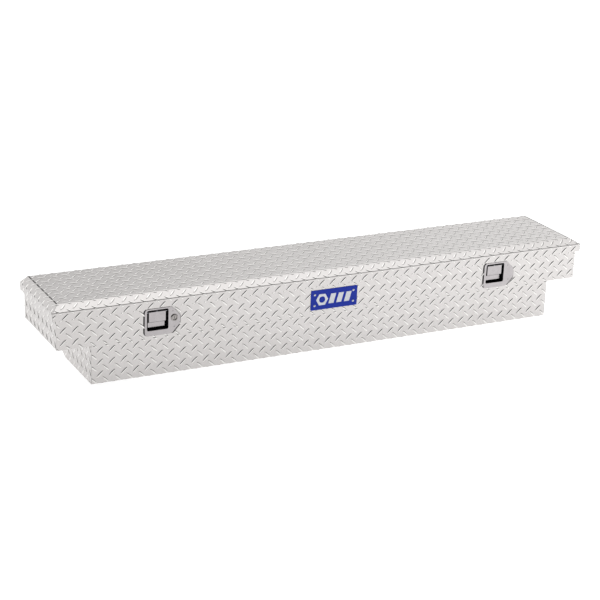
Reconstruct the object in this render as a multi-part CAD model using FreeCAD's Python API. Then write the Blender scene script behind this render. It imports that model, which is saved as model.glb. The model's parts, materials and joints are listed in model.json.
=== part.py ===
import FreeCAD, Part
import math
import os

# Crossover tool box for a pickup bed: a folded tread-plate tub with a wing at each end that rests on
# the bed rails, and one foam-filled lid on a piano hinge along the back. +X is along the box, -Y is
# the front with the handles, +Z is up, and the origin is under the middle of the box, on its bottom.
# All sizes are millimetres.

# driving dimensions
LID_LENGTH = 1752.0
BODY_LENGTH = 1728.0
LOWER_LENGTH = 1526.0
OVERALL_DEPTH = 290.0
HEIGHT = 243.0
WING_Z = 116.0
RIM_Z = 215.0
SHEET = 1.6
BEND = 1.0

# lid
LID_FRONT = -OVERALL_DEPTH / 2
BEVEL_HEIGHT = 14.0
BEVEL_FRONT = 30.0
BEVEL_END = 25.0
FLANGE_HEIGHT = 24.0
FOLD = 3.0
BEVEL_Z = HEIGHT - BEVEL_HEIGHT
FLANGE_Z = BEVEL_Z - FLANGE_HEIGHT
LINER_Z = 222.8
LINER = 1.2
CORE_GAP = 0.2
LID_HALF = LID_LENGTH / 2

# tub
FRONT = LID_FRONT + 4.5
KNUCKLE_R = 3.5
HINGE_Y = OVERALL_DEPTH / 2 - KNUCKLE_R
BACK = HINGE_Y - 4.0
BODY_HALF = BODY_LENGTH / 2
LOWER_HALF = LOWER_LENGTH / 2
RIM_WIDTH = 22.0
FRONT_IN = FRONT + SHEET
BACK_IN = BACK - SHEET
SEAL_INSET = 6.0
SEAL_WIDTH = 10.0
SEAL_HEIGHT = 7.5
REAR_BEVEL_IN = 60.0
REAR_BEVEL_RISE = 22.0
RAIL_HOLE_R = 4.5
RAIL_HOLE_SPACING = 180.0
RAIL_HOLE_X = (BODY_HALF + LOWER_HALF) / 2
BODY_MID_Y = (FRONT + BACK) / 2

# hinge
HINGE_Z = 214.0
HINGE_HALF = 850.0
LEAF = 1.4
LEAF_WIDTH = 20.0
LEAF_GAP = 4.0
KNUCKLE = 25.0
KNUCKLE_GAP = 0.5
PIN_R = 1.6
RUNNING = 0.05
HINGE_RIVET_PITCH = 100.0

# latches, both the same way round: outlines are measured from the recess's middle
LATCH_XS = (-565.5, 562.0)
RECESS_Z = 168.0
RECESS_W = 65.0
RECESS_H = 61.0
RECESS_CORNER = 5.0
PLATE_T = 1.5
GASKET_T = 1.1
PLATE_LOW = 122.0
PLATE_HIGH = 203.0
PLATE_OUTLINE = (
    (-39.5, PLATE_LOW, 10.0), (43.5, PLATE_LOW, 14.0), (68.5, 150.0, 10.0),
    (68.5, 175.0, 10.0), (43.5, PLATE_HIGH, 14.0), (-39.5, PLATE_HIGH, 10.0),
)
GASKET_OUTLINE = (
    (-42.5, PLATE_LOW, 12.0), (48.5, PLATE_LOW, 10.0), (70.0, 146.0, 10.0),
    (70.0, 175.0, 10.0), (43.5, PLATE_HIGH, 14.0), (-42.5, PLATE_HIGH, 12.0),
)
CUP_WALL = 1.0
CUP_BACK = 26.0
PLATE_Y = FRONT - GASKET_T
PLATE_FACE = PLATE_Y - PLATE_T
HOLE_GROW = 2.0
ARM_SLOT_HALF = 4.0
ARM_SLOT_LOW = 174.5
ARM_SLOT_HIGH = 194.5
STUDS = ((45.5, 191.0), (50.5, 144.0))
STUD_R = 2.5
STUD_LENGTH = 12.0
STUD_HOLE_R = 2.7
DIMPLE_R = 6.0
DIMPLE_DEPTH = 0.6
NUT_FLATS = 8.0
NUT_T = 4.0

# lock, in the left-hand plate
LOCK_X = LATCH_XS[0] + 50.5
LOCK_Z = 169.0
LOCK_RIM_R = 10.5
LOCK_RIM = 1.5
LOCK_RIM_ROUND = 1.3
LOCK_BARREL_R = 8.0
LOCK_HOLE_R = 8.2
LOCK_DEPTH = 27.5
PLUG_R = 6.0
PLUG_NECK_R = 4.0
KEYWAY_HALF = 0.8
KEYWAY_RISE = 3.6
LOCK_NUT_FLATS = 22.0
LOCK_NUT_T = 3.0
CAM_T = 3.0
CAM_HALF = 7.0
CAM_REACH = 22.0

# paddle, its arm and the cross rod that carries the hooks
PADDLE_W = 51.0
PADDLE_Y = FRONT + 1.0
PADDLE_T = 2.0
PADDLE_TOP = 191.5
PADDLE_CREASE = 161.0
PADDLE_LIP = 144.0
PADDLE_STEP_IN = 8.5
PADDLE_STEP_DOWN = 2.5
PIVOT_Y = FRONT + 6.0
PIVOT_Z = 190.0
PADDLE_PIN_R = 2.0
PADDLE_LIFT = 35.0
EAR_R = 4.0
EAR_LOW = 165.0
ARM = 28.0
ARM_ROOT = 4.2
ARM_TIP = 1.5
NOSE_R = 2.5
ROD_Y = -88.0
ROD_Z = 178.0
ROD_R = 4.0
ROD_HALF = 656.0
HOOK_X = 608.5
HUB_R = 9.0
HUB_HALF = 6.0
PLATE_HALF = 2.5
BAR_ABOVE = 26.0
BAR_R = 3.5
HOOK_IN = 30.0
HOOK_OUT = 35.0
HOOK_SWEEP = (126.0, 101.0, 76.0)
HOOK_STEM = 119.0
HOOK_STEM_HALF = 4.0
FORK_HALF = 7.0
FORK_SLOT_HALF = 3.3
FORK_SLOT_START = 15.5
FORK_OVER = 0.9
ROLL_PIN_R = 1.2
ROLL_PIN_OFFSET = 4.2
GUIDE_XS = (-648.0, -470.0, 0.0, 470.0, 648.0)
GUIDE_T = 3.0
GUIDE_FOOT = 14.0
SPRING_XS = (-512.0, 488.0)
SPRING_PITCH = 2.2
SPRING_LENGTH = 22.0
SPRING_R = 6.2
WIRE_R = 0.9

# gas struts
STRUT_X = 822.0
STRUT_BASE = (-80.0, 152.0)
STRUT_TOP = (94.0, 207.0)
SOCKET_R = 8.0
BALL_R = 5.0
TUBE_R = 8.0
TUBE_WALL = 1.2
TUBE_START = 16.0
TUBE_END = 124.0
STRUT_ROD_R = 4.0
STRUT_ROD_START = 50.0
PISTON = 7.0
NECK_R = 5.2
STUD_SHANK_R = 3.0
BARREL_IN = 6.0
BARREL_OUT = 5.2
STUD_START = 5.8
BRACKET_X = STRUT_X + 10.0
BRACKET_T = 2.5

# what is screwed to the lid's liner
FOOT = 2.0
SCREW_R = 2.5
SCREW_HOLE_R = 2.7
SCREW_HEAD_R = 4.2
SCREW_HEAD = 2.6
STRIKER_SCREWS = (-18.0, 18.0)
STRIKER_HALF = 25.0
STRIKER_LEGS = (-10.0, 7.0)
STRIKER_LEG = 3.0
STRIKER_LEG_HALF = 5.5
BRACKET_SCREWS = (-9.9, 9.9)
BRACKET_SCREW_X = STRUT_X - 6.0

# badge
BADGE_X = -2.5
BADGE_Z = 160.0
BADGE_W = 155.0
BADGE_H = 62.0
BADGE_T = 1.2
BADGE_CORNER = 3.0
BADGE_RIVETS = ((-64.5, -17.0), (-64.5, 17.0), (64.5, -17.0), (64.5, 17.0))

# rivets of the hinge and the badge
RIVET_R = 1.6
RIVET_HOLE_R = 1.7
RIVET_HEAD_R = 3.4
RIVET_HEAD = 1.2
RIVET_TAIL_R = 2.6
RIVET_TAIL = 1.0

AXES = {
    "X": (FreeCAD.Vector(1, 0, 0), lambda a, b: FreeCAD.Vector(0, a, b)),
    "Y": (FreeCAD.Vector(0, 1, 0), lambda a, b: FreeCAD.Vector(a, 0, b)),
    "Z": (FreeCAD.Vector(0, 0, 1), lambda a, b: FreeCAD.Vector(a, b, 0)),
}


# plain shapes

def vec(x, y, z):
    return FreeCAD.Vector(x, y, z)


def box(x0, x1, y0, y1, z0, z1):
    return Part.makeBox(x1 - x0, y1 - y0, z1 - z0, vec(x0, y0, z0))


def rod(axis, radius, x, y, z, length):
    """A round bar that starts at a point and runs along an axis."""
    return Part.makeCylinder(radius, length, vec(x, y, z), AXES[axis][0])


def join(shapes):
    return shapes[0].multiFuse(shapes[1:]).removeSplitter()


def cut(shape, tools):
    return shape.cut(tools)


def mirrored(shape):
    return shape.mirror(vec(0, 0, 0), vec(1, 0, 0))


def polar(centre, radius, degrees):
    angle = math.radians(degrees)
    return (centre[0] + radius * math.cos(angle), centre[1] + radius * math.sin(angle))


def unit(a, b):
    dx, dy = b[0] - a[0], b[1] - a[1]
    length = math.hypot(dx, dy)
    return dx / length, dy / length


def rounded_corner(before, at, after, radius):
    """Start, middle and end of the arc that rounds a corner of an outline."""
    u = unit(at, before)
    w = unit(at, after)
    half = math.acos(max(-1.0, min(1.0, u[0] * w[0] + u[1] * w[1]))) / 2
    reach = radius / math.tan(half)
    bis = unit((0, 0), (u[0] + w[0], u[1] + w[1]))
    to_middle = radius / math.sin(half) - radius
    return [
        (at[0] + u[0] * reach, at[1] + u[1] * reach),
        (at[0] + bis[0] * to_middle, at[1] + bis[1] * to_middle),
        (at[0] + w[0] * reach, at[1] + w[1] * reach),
    ]


def outline_face(points, radii, to_space):
    """A flat face with straight sides and the given radius at each corner."""
    count = len(points)
    corners = []
    for i, radius in enumerate(radii):
        if radius > 0:
            corners.append(rounded_corner(points[i - 1], points[i], points[(i + 1) % count], radius))
        else:
            corners.append([points[i]])
    edges = []
    for i, corner in enumerate(corners):
        if len(corner) == 3:
            edges.append(Part.Arc(*[to_space(*p) for p in corner]).toShape())
        start = to_space(*corner[-1])
        end = to_space(*corners[(i + 1) % count][0])
        if start.distanceToPoint(end) > 1e-6:
            edges.append(Part.LineSegment(start, end).toShape())
    return Part.Face(Part.Wire(edges))


def prism(axis, points, start, end, radii=None):
    """An outline across an axis, carried along it from start to end."""
    direction, to_space = AXES[axis]
    face = outline_face(points, radii or [0] * len(points), to_space)
    face.translate(direction * start)
    return face.extrude(direction * (end - start))


def shifted(path, distance):
    """An open path moved sideways to its left, with mitred corners."""
    out = []
    last = len(path) - 1
    for i, at in enumerate(path):
        a = unit(path[i - 1], at) if i > 0 else unit(at, path[1])
        b = unit(at, path[i + 1]) if i < last else a
        normal = (-a[1] - b[1], a[0] + b[0])
        scale = distance / (1 + a[0] * b[0] + a[1] * b[1])
        out.append((at[0] + normal[0] * scale, at[1] + normal[1] * scale))
    return out


def bent_sheet(axis, path, start, end, thickness=SHEET, bend=BEND):
    """A folded sheet: its outer face follows the path, and its metal lies to the path's left."""
    outer_radii = [0.0]
    inner_radii = [0.0]
    for a, b, c in zip(path, path[1:], path[2:]):
        turn = (b[0] - a[0]) * (c[1] - b[1]) - (b[1] - a[1]) * (c[0] - b[0])
        outer_radii.append(bend + thickness if turn > 0 else bend)
        inner_radii.append(bend if turn > 0 else bend + thickness)
    outer_radii.append(0.0)
    inner_radii.append(0.0)
    points = path + shifted(path, thickness)[::-1]
    return prism(axis, points, start, end, outer_radii + inner_radii[::-1])


def rounded_box(axis, a0, a1, b0, b1, start, end, radius):
    """A bar of rectangular section with rounded corners, along an axis."""
    points = [(a0, b0), (a1, b0), (a1, b1), (a0, b1)]
    return prism(axis, points, start, end, [radius] * 4)


def hexagon(across_flats, x, y, z, length):
    """A six-sided bar along Y."""
    radius = across_flats / math.sqrt(3)
    points = [polar((x, z), radius, 60 * i) for i in range(6)]
    return prism("Y", points, y, y + length)


def dome(radius, height, x, y, z, direction):
    """A low round rivet head with its flat side at a point, bulging along a direction."""
    ball = (radius ** 2 + height ** 2) / (2 * height)
    latitude = math.degrees(math.asin((ball - height) / ball))
    centre = vec(x, y, z) - direction * (ball - height)
    return Part.makeSphere(ball, centre, direction, latitude, 90, 360)


def rivet(x, z, face_y, grip, outward):
    """A rivet through sheets along Y: a dome outside, a flat tail inside."""
    far = face_y - outward * (grip + RIVET_TAIL)
    near = face_y - outward * grip
    shank = rod("Y", RIVET_R, x, min(face_y, far), z, grip + RIVET_TAIL)
    head = dome(RIVET_HEAD_R, RIVET_HEAD, x, face_y, z, vec(0, outward, 0))
    tail = rod("Y", RIVET_TAIL_R, x, min(near, far), z, RIVET_TAIL)
    return join([shank, head, tail])


# lid

def lid_volume(inset, bottom):
    """The hipped block inside the lid's outer faces, shrunk by an inset all round."""
    end = [
        (-LID_HALF, bottom),
        (-LID_HALF, BEVEL_Z),
        (BEVEL_END - LID_HALF, HEIGHT),
        (LID_HALF - BEVEL_END, HEIGHT),
        (LID_HALF, BEVEL_Z),
        (LID_HALF, bottom),
    ]
    side = [
        (LID_FRONT, bottom),
        (LID_FRONT, BEVEL_Z),
        (LID_FRONT + BEVEL_FRONT, HEIGHT),
        (BACK, HEIGHT),
        (BACK, bottom),
    ]
    radius = max(FOLD - inset, 0.5)
    end_block = prism("Y", shifted(end, -inset), -LID_HALF, LID_HALF, [0, radius, radius, radius, radius, 0])
    side_block = prism("X", shifted(side, -inset), -LID_LENGTH, LID_LENGTH, [0, radius, radius, radius, 0])
    return end_block.common(side_block)


def lid_skin():
    shell = lid_volume(0.0, FLANGE_Z).cut(lid_volume(SHEET, FLANGE_Z - 1.0))
    inside = LID_HALF - SHEET
    over_rim = box(-inside, inside, BACK_IN - 1.0, BACK + 1.0, FLANGE_Z - 2.0, RIM_Z + 1.0)
    return cut(shell, [over_rim] + hinge_rivet_holes(HINGE_Z + LEAF_GAP + LEAF_WIDTH / 2))


def lid_core():
    top = LINER_Z + LINER
    space = lid_volume(SHEET + CORE_GAP, FLANGE_Z)
    room = box(-LID_HALF, LID_HALF, LID_FRONT, BACK_IN - 2.0, top + CORE_GAP, HEIGHT)
    return space.common(room)


def screw_places():
    """Where screws hold the strikers and the strut brackets to the lid's liner."""
    places = []
    for side in (-1, 1):
        places += [(side * HOOK_X + offset, ROD_Y) for offset in STRIKER_SCREWS]
        places += [(side * BRACKET_SCREW_X, STRUT_TOP[0] + offset) for offset in BRACKET_SCREWS]
    return places


def screw_holes(places, bottom):
    return [rod("Z", SCREW_HOLE_R, x, y, bottom - 1.0, 4.0) for x, y in places]


def lid_liner():
    inside = LID_HALF - SHEET - 1.0
    sheet = box(-inside, inside, LID_FRONT + SHEET + 1.0, BACK_IN - 2.0, LINER_Z, LINER_Z + LINER)
    return cut(sheet, screw_holes(screw_places(), LINER_Z))


def liner_screws():
    screws = []
    for x, y in screw_places():
        head_z = LINER_Z - FOOT - SCREW_HEAD
        head = rod("Z", SCREW_HEAD_R, x, y, head_z, SCREW_HEAD)
        shank = rod("Z", SCREW_R, x, y, head_z + 1.0, SCREW_HEAD + FOOT + LINER - 1.0)
        screws.append(join([head, shank]))
    return Part.makeCompound(screws)


def striker(side):
    """A bracket under the lid with a round bar that the hook holds."""
    x = side * HOOK_X
    base = box(x - STRIKER_HALF, x + STRIKER_HALF, ROD_Y - 10.0, ROD_Y + 10.0, LINER_Z - FOOT, LINER_Z)
    bar_z = ROD_Z + BAR_ABOVE
    bar_length = STRIKER_LEGS[1] + STRIKER_LEG - STRIKER_LEGS[0]
    parts = [base, rod("X", BAR_R, x + STRIKER_LEGS[0], ROD_Y, bar_z, bar_length)]
    for leg in STRIKER_LEGS:
        points = [
            (ROD_Y - STRIKER_LEG_HALF, LINER_Z - 1.0),
            (ROD_Y - STRIKER_LEG_HALF, bar_z - STRIKER_LEG_HALF),
            (ROD_Y + STRIKER_LEG_HALF, bar_z - STRIKER_LEG_HALF),
            (ROD_Y + STRIKER_LEG_HALF, LINER_Z - 1.0),
        ]
        parts.append(prism("X", points, x + leg, x + leg + STRIKER_LEG, [0, 5.0, 5.0, 0]))
    places = [(x + offset, ROD_Y) for offset in STRIKER_SCREWS]
    return cut(join(parts), screw_holes(places, LINER_Z - FOOT))


def strut_bracket_lid():
    """The right-hand angle under the lid, with the stud that the strut's end snaps on."""
    y, z = STRUT_TOP
    outer = BRACKET_X + BRACKET_T
    foot = box(STRUT_X - 14.0, outer, y - 16.0, y + 16.0, LINER_Z - FOOT, LINER_Z)
    points = [
        (y - 14.0, LINER_Z - 1.0),
        (y - 9.0, z - 9.0),
        (y + 9.0, z - 9.0),
        (y + 14.0, LINER_Z - 1.0),
    ]
    leg = prism("X", points, BRACKET_X, outer, [0, 6.0, 6.0, 0])
    stud_x = STRUT_X + STUD_START
    stud = rod("X", STUD_SHANK_R, stud_x, y, z, BRACKET_X + 0.5 - stud_x)
    places = [(BRACKET_SCREW_X, y + offset) for offset in BRACKET_SCREWS]
    return cut(join([foot, leg, stud]), screw_holes(places, LINER_Z - FOOT))


# hinge

def hinge_xs():
    count = int(HINGE_HALF * 2 / HINGE_RIVET_PITCH)
    first = -HINGE_RIVET_PITCH * (count - 1) / 2
    return [first + HINGE_RIVET_PITCH * i for i in range(count)]


def hinge_rivet_holes(z):
    return [rod("Y", RIVET_HOLE_R, x, BACK_IN - 1.0, z, 5.0) for x in hinge_xs()]


def hinge_leaf(first, up):
    """One leaf of the piano hinge: up is 1 for the lid's leaf and -1 for the tub's."""
    near = HINGE_Z + up * LEAF_GAP
    far = HINGE_Z + up * (LEAF_GAP + LEAF_WIDTH)
    parts = [box(-HINGE_HALF, HINGE_HALF, BACK, BACK + LEAF, min(near, far), max(near, far))]
    knuckles = int(HINGE_HALF * 2 / KNUCKLE)
    tab_end = HINGE_Z + up * 1.3
    for i in range(first, knuckles, 2):
        x0 = -HINGE_HALF + i * KNUCKLE + KNUCKLE_GAP / 2
        length = KNUCKLE - KNUCKLE_GAP
        parts.append(rod("X", KNUCKLE_R, x0, HINGE_Y, HINGE_Z, length))
        low, high = min(near, tab_end), max(near, tab_end)
        parts.append(box(x0, x0 + length, BACK, BACK + LEAF, low, high))
    bore = rod("X", PIN_R + RUNNING, -HINGE_HALF, HINGE_Y, HINGE_Z, HINGE_HALF * 2)
    holes = hinge_rivet_holes((near + far) / 2)
    return cut(join(parts), [bore] + holes)


def hinge_rivets(up):
    z = HINGE_Z + up * (LEAF_GAP + LEAF_WIDTH / 2)
    return Part.makeCompound([rivet(x, z, BACK + LEAF, LEAF + SHEET, 1) for x in hinge_xs()])


def hinge_pin():
    return rod("X", PIN_R, -HINGE_HALF, HINGE_Y, HINGE_Z, HINGE_HALF * 2)


# tub

def trough():
    path = [
        (FRONT, WING_Z),
        (FRONT, 0.0),
        (BACK - REAR_BEVEL_IN, 0.0),
        (BACK, REAR_BEVEL_RISE),
        (BACK, WING_Z),
    ]
    return bent_sheet("X", path, -LOWER_HALF, LOWER_HALF)


def under_rear_bevel():
    """The space that the trough's rear bevel and its metal take from an end's lower wall."""
    slope = REAR_BEVEL_RISE / REAR_BEVEL_IN
    metal = SHEET * math.hypot(1.0, slope)
    reach = REAR_BEVEL_IN + 20.0
    front, back = BACK - reach, BACK + 5.0
    line = [(y, (y - BACK) * slope + REAR_BEVEL_RISE + metal) for y in (front, back)]
    drop = line[0][1] - 20.0
    points = line + [(back, drop), (front, drop)]
    return prism("X", points, LOWER_HALF - 5.0, LOWER_HALF + 5.0)


def clear_of_end_rims(panel):
    inner = BODY_HALF - RIM_WIDTH
    ends = []
    for x0, x1 in ((-BODY_HALF - 1.0, -inner), (inner, BODY_HALF + 1.0)):
        ends.append(box(x0, x1, FRONT_IN, BACK_IN, WING_Z - 1.0, RIM_Z + 1.0))
    return cut(panel, ends)


def front_panel():
    path = [(FRONT + RIM_WIDTH, RIM_Z), (FRONT, RIM_Z), (FRONT, WING_Z)]
    panel = clear_of_end_rims(bent_sheet("X", path, -BODY_HALF, BODY_HALF))
    holes = [lock_hole(FRONT - 1.0)] + badge_holes()
    for x in LATCH_XS:
        holes.append(recess_block(x, HOLE_GROW, FRONT - 1.0, FRONT_IN + 2.0))
        holes += stud_holes(x, FRONT - 1.0)
    return cut(panel, holes)


def back_panel():
    path = [(BACK, WING_Z), (BACK, RIM_Z), (BACK - RIM_WIDTH, RIM_Z)]
    panel = clear_of_end_rims(bent_sheet("X", path, -BODY_HALF, BODY_HALF))
    return cut(panel, hinge_rivet_holes(HINGE_Z - LEAF_GAP - LEAF_WIDTH / 2))


def end_sheet():
    """The right-hand end: lower wall, wing floor, wing wall and rim, folded from one sheet."""
    path = [
        (LOWER_HALF, SHEET),
        (LOWER_HALF, WING_Z),
        (BODY_HALF, WING_Z),
        (BODY_HALF, RIM_Z),
        (BODY_HALF - RIM_WIDTH, RIM_Z),
    ]
    sheet = bent_sheet("Y", path, FRONT_IN, BACK_IN)
    holes = [under_rear_bevel()]
    for side in (-1, 1):
        y = BODY_MID_Y + side * RAIL_HOLE_SPACING / 2
        holes.append(rod("Z", RAIL_HOLE_R, RAIL_HOLE_X, y, WING_Z - 1.0, 4.0))
    return cut(sheet, holes)


def weather_seal():
    x = BODY_HALF - SEAL_INSET
    front = FRONT + SEAL_INSET
    back = BACK - SEAL_INSET - 2.0
    top = RIM_Z + SEAL_HEIGHT
    outer = box(-x, x, front, back, RIM_Z, top)
    w = SEAL_WIDTH
    ring = outer.cut(box(w - x, x - w, front + w, back - w, RIM_Z - 1.0, top + 1.0))
    crown = [e for e in ring.Edges if all(abs(v.Z - top) < 1e-6 for v in e.Vertexes)]
    return ring.makeFillet(3.0, crown)


def strut_bracket_tub():
    """The right-hand angle on the wing floor that carries the strut's lower ball."""
    y, z = STRUT_BASE
    floor = WING_Z + SHEET
    path = [(BRACKET_X, z + 10.0), (BRACKET_X, floor), (BODY_HALF - 4.0, floor)]
    angle = bent_sheet("Y", path, y - 15.0, y + 15.0, thickness=BRACKET_T)
    corners = []
    for side in (-17.0, 17.0):
        corners.append(box(BRACKET_X - 1.0, BRACKET_X + 3.0, y + side - 6.0, y + side + 6.0, z, z + 11.0))
    return cut(angle, corners + [rod("X", STUD_SHANK_R, BRACKET_X - 1.0, y, z, 5.0)])


def strut_balls():
    y, z = STRUT_BASE
    stud = rod("X", STUD_SHANK_R, STRUT_X, y, z, 14.0)
    nut = rod("X", 5.0, BRACKET_X + BRACKET_T, y, z, 3.0)
    ball = Part.makeSphere(BALL_R, vec(STRUT_X, y, z), AXES["X"][0])
    right = join([stud, nut, ball])
    return Part.makeCompound([right, mirrored(right)])


# gas struts

def strut_direction():
    return unit(STRUT_BASE, STRUT_TOP)


def along_strut(radius, start, end):
    """A round bar on the right-hand strut's line, between two distances from its lower ball."""
    dy, dz = strut_direction()
    base = vec(STRUT_X, STRUT_BASE[0] + dy * start, STRUT_BASE[1] + dz * start)
    return Part.makeCylinder(radius, end - start, base, vec(0, dy, dz))


def strut_length():
    return math.hypot(STRUT_TOP[0] - STRUT_BASE[0], STRUT_TOP[1] - STRUT_BASE[1])


def strut_base_socket():
    y, z = STRUT_BASE
    barrel = rod("X", SOCKET_R, STRUT_X - BARREL_IN, y, z, BARREL_IN * 2)
    neck = along_strut(NECK_R, 4.0, TUBE_START)
    cavity = Part.makeSphere(BALL_R + RUNNING, vec(STRUT_X, y, z), AXES["X"][0])
    mouth = rod("X", 4.3, STRUT_X, y, z, 7.0)
    return cut(join([barrel, neck]), [cavity, mouth])


def strut_tube():
    tube = along_strut(TUBE_R, TUBE_START, TUBE_END)
    space = along_strut(TUBE_R - TUBE_WALL, TUBE_START + 2.0, TUBE_END - 6.0)
    bore = along_strut(STRUT_ROD_R + RUNNING, TUBE_END - 7.0, TUBE_END + 1.0)
    return cut(tube, [space, bore])


def strut_rod():
    rod_end = strut_length() - SOCKET_R
    piston_r = TUBE_R - TUBE_WALL - RUNNING
    piston = along_strut(piston_r, STRUT_ROD_START, STRUT_ROD_START + PISTON)
    return join([along_strut(STRUT_ROD_R, STRUT_ROD_START, rod_end), piston])


def strut_end():
    y, z = STRUT_TOP
    barrel = rod("X", SOCKET_R, STRUT_X - BARREL_IN, y, z, BARREL_IN + BARREL_OUT)
    length = strut_length()
    neck = along_strut(NECK_R, length - 17.0, length - 4.0)
    return cut(join([barrel, neck]), [along_strut(STRUT_ROD_R, length - 18.0, length - SOCKET_R)])


# latches

def recess_block(x, grow, y0, y1):
    half_w = RECESS_W / 2 + grow
    low, high = RECESS_Z - RECESS_H / 2 - grow, RECESS_Z + RECESS_H / 2 + grow
    return rounded_box("Y", x - half_w, x + half_w, low, high, y0, y1, RECESS_CORNER)


def stud_holes(x, start):
    return [rod("Y", STUD_HOLE_R, x + dx, start, z, 4.0) for dx, z in STUDS]


def lock_hole(start):
    return rod("Y", LOCK_HOLE_R, LOCK_X, start, LOCK_Z, 4.0)


def latch_sheet(x, outline, y0, y1, hole_grow):
    """A flat sheet round the recess, tapered towards its right-hand end."""
    points = [(x + across, z) for across, z, radius in outline]
    radii = [radius for across, z, radius in outline]
    return prism("Y", points, y0, y1, radii).cut(recess_block(x, hole_grow, y0 - 1.0, y1 + 1.0))


def latch_plate(x, has_lock):
    plate = latch_sheet(x, PLATE_OUTLINE, PLATE_FACE, PLATE_Y, 0.0)
    holes = [lock_hole(PLATE_FACE - 1.0)] if has_lock else []
    for dx, z in STUDS:
        centre = vec(x + dx, PLATE_FACE + DIMPLE_DEPTH - DIMPLE_R, z)
        holes.append(Part.makeSphere(DIMPLE_R, centre, AXES["Y"][0]))
    return cut(plate, holes)


def latch_gasket(x, has_lock):
    gasket = latch_sheet(x, GASKET_OUTLINE, PLATE_Y, FRONT, HOLE_GROW)
    holes = [lock_hole(PLATE_Y - 1.0)] if has_lock else []
    return cut(gasket, holes + stud_holes(x, PLATE_Y - 1.0))


def latch_cup(x):
    back = FRONT + CUP_BACK
    outer = recess_block(x, CUP_WALL, PLATE_Y, back)
    inner = recess_block(x, 0.0, PLATE_Y - 1.0, back - CUP_WALL)
    slot_start = back - CUP_WALL - 1.0
    slot = box(x - ARM_SLOT_HALF, x + ARM_SLOT_HALF, slot_start, back + 1.0, ARM_SLOT_LOW, ARM_SLOT_HIGH)
    pin_hole = rod("X", PADDLE_PIN_R + RUNNING, x - 40.0, PIVOT_Y, PIVOT_Z, 80.0)
    return cut(outer, [inner, slot, pin_hole])


def paddle_pin(x):
    half = RECESS_W / 2 + CUP_WALL + 1.0
    return rod("X", PADDLE_PIN_R, x - half, PIVOT_Y, PIVOT_Z, half * 2)


def paddle(x):
    """The pull plate, stepped inwards to its lip, and an ear at each side that turns on the pin."""
    half = PADDLE_W / 2
    path = [
        (PADDLE_Y, PADDLE_TOP),
        (PADDLE_Y, PADDLE_CREASE),
        (PADDLE_Y + PADDLE_STEP_IN, PADDLE_CREASE - PADDLE_STEP_DOWN),
        (PADDLE_Y + PADDLE_STEP_IN, PADDLE_LIP),
    ]
    parts = [bent_sheet("X", path, x - half, x + half, thickness=PADDLE_T)]
    for x0 in (x - half, x + half - PADDLE_T):
        parts.append(rod("X", EAR_R, x0, PIVOT_Y, PIVOT_Z, PADDLE_T))
        parts.append(box(x0, x0 + PADDLE_T, PADDLE_Y + 1.0, PIVOT_Y, EAR_LOW, PADDLE_TOP))
    bore = rod("X", PADDLE_PIN_R + RUNNING, x - half - 1.0, PIVOT_Y, PIVOT_Z, PADDLE_W + 2.0)
    return cut(join(parts), [bore])


def line_of_centres():
    return math.hypot(ROD_Y - PIVOT_Y, ROD_Z - PIVOT_Z)


def line_angle():
    return math.degrees(math.atan2(ROD_Z - PIVOT_Z, ROD_Y - PIVOT_Y))


def nose_place():
    return polar((PIVOT_Y, PIVOT_Z), ARM, line_angle() + PADDLE_LIFT / 2)


def rod_turn():
    """How far the cross rod turns as a paddle lifts fully: its fork follows the arm's nose."""
    half = math.radians(PADDLE_LIFT / 2)
    return 2 * math.degrees(math.atan2(ARM * math.sin(half), line_of_centres() - ARM * math.cos(half)))


def paddle_arm(x):
    """The arm behind the paddle, whose round nose sits in the cross rod's fork."""
    pivot = (PIVOT_Y, PIVOT_Z)
    nose = nose_place()
    x0, x1 = x - PLATE_HALF, x + PLATE_HALF
    u = unit(pivot, nose)
    shank = []
    for end, across in ((pivot, ARM_ROOT), (nose, ARM_TIP), (nose, -ARM_TIP), (pivot, -ARM_ROOT)):
        shank.append((end[0] - u[1] * across, end[1] + u[0] * across))
    parts = [
        rod("X", EAR_R + 0.5, x0, PIVOT_Y, PIVOT_Z, x1 - x0),
        prism("X", shank, x0, x1),
        rod("X", NOSE_R, x0, nose[0], nose[1], x1 - x0),
        box(x0, x1, PADDLE_Y + PADDLE_T, PIVOT_Y, 180.0, PADDLE_TOP - 0.5),
    ]
    front = box(x0 - 1.0, x1 + 1.0, PADDLE_Y - 5.0, PADDLE_Y + PADDLE_T, 170.0, 200.0)
    bore = rod("X", PADDLE_PIN_R + RUNNING, x0 - 1.0, PIVOT_Y, PIVOT_Z, x1 - x0 + 2.0)
    return cut(join(parts), [front, bore])


def hub(x):
    return rod("X", HUB_R, x - HUB_HALF, ROD_Y, ROD_Z, HUB_HALF * 2)


def roll_pin(x, half):
    """A pin straight down through a hub and the cross rod."""
    return rod("Z", ROLL_PIN_R, x + ROLL_PIN_OFFSET, ROD_Y, ROD_Z - half, half * 2)


def hub_holes(x):
    bore = rod("X", ROD_R, x - HUB_HALF - 1.0, ROD_Y, ROD_Z, HUB_HALF * 2 + 2.0)
    return [bore, roll_pin(x, HUB_R + 3.0)]


def strip(x, angle, start, end, half_width):
    """A flat bar that points away from the cross rod at an angle."""
    centre = (ROD_Y, ROD_Z)
    u = unit(centre, polar(centre, 1.0, angle))
    side = (-u[1], u[0])
    points = []
    for along, across in ((start, 1), (end, 1), (end, -1), (start, -1)):
        points.append((
            centre[0] + u[0] * along + side[0] * half_width * across,
            centre[1] + u[1] * along + side[1] * half_width * across,
        ))
    return prism("X", points, x - PLATE_HALF, x + PLATE_HALF)


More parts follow.
